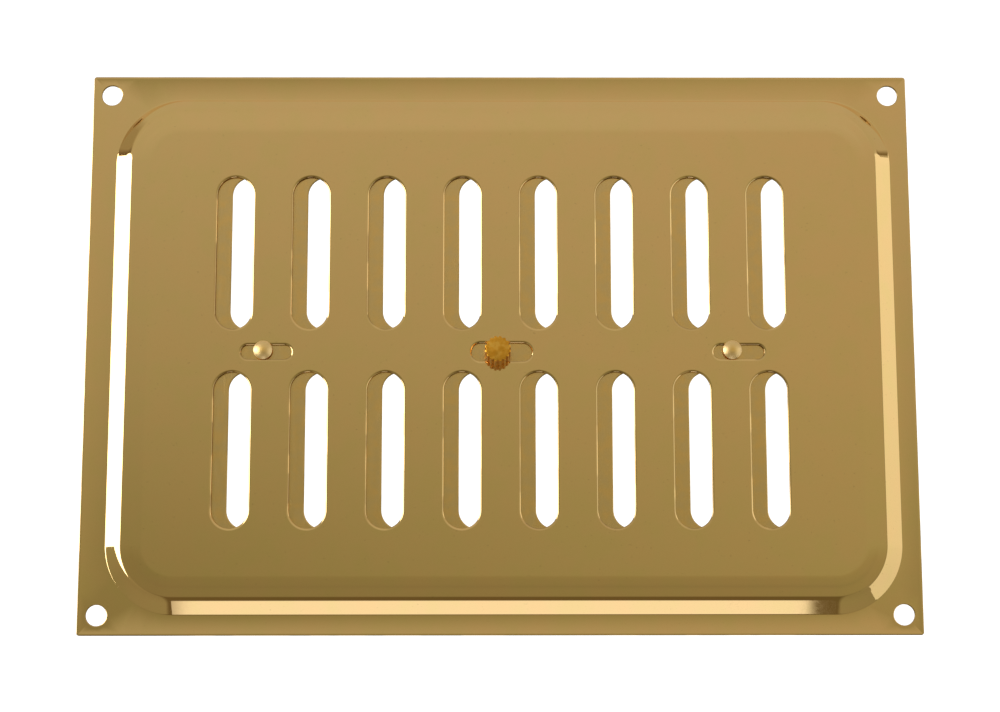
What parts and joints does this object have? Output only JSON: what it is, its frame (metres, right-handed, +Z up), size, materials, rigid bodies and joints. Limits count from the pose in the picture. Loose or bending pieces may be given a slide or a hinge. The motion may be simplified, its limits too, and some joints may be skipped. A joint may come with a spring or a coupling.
{
  "type": "hit-and-miss ventilator plate",
  "caption": "Pressed brass wall ventilator plate with rows of upright slots and a sliding shutter behind them, worked by a small knob.",
  "frame": {"origin": "centre of the plate and of its four screw holes, on the plane of the wall that the back of the flange lies on", "axes": "+X across the plate, +Z up the plate along the slots, +Y into the wall, so the face looks towards -Y"},
  "size_m": [0.242, 0.0137, 0.165],
  "materials": {
    "face_brass": "polished",
    "shutter_brass": "bright rolled",
    "rivet_brass": "polished",
    "knob_brass": "turned",
    "washer_brass": "satin",
    "spring_steel": "satin",
    "screw_steel": "zinc plated"
  },
  "bodies": {
    "face": {"face_plate": "face_brass"},
    "shutter": {"shutter_plate": "shutter_brass", "guide_rivet_left": "rivet_brass", "guide_rivet_right": "rivet_brass", "spring_washer_left": "spring_steel", "spring_washer_right": "spring_steel", "backing_washer_left": "washer_brass", "backing_washer_right": "washer_brass", "knob": "knob_brass", "knob_washer": "washer_brass", "knob_screw": "screw_steel"}
  },
  "joints": [
    {"name": "shutter_slide", "type": "slide", "parent": "face", "child": "shutter", "axis": [1, 0, 0], "range_m": [-0.0038, 0.0067]}
  ]
}
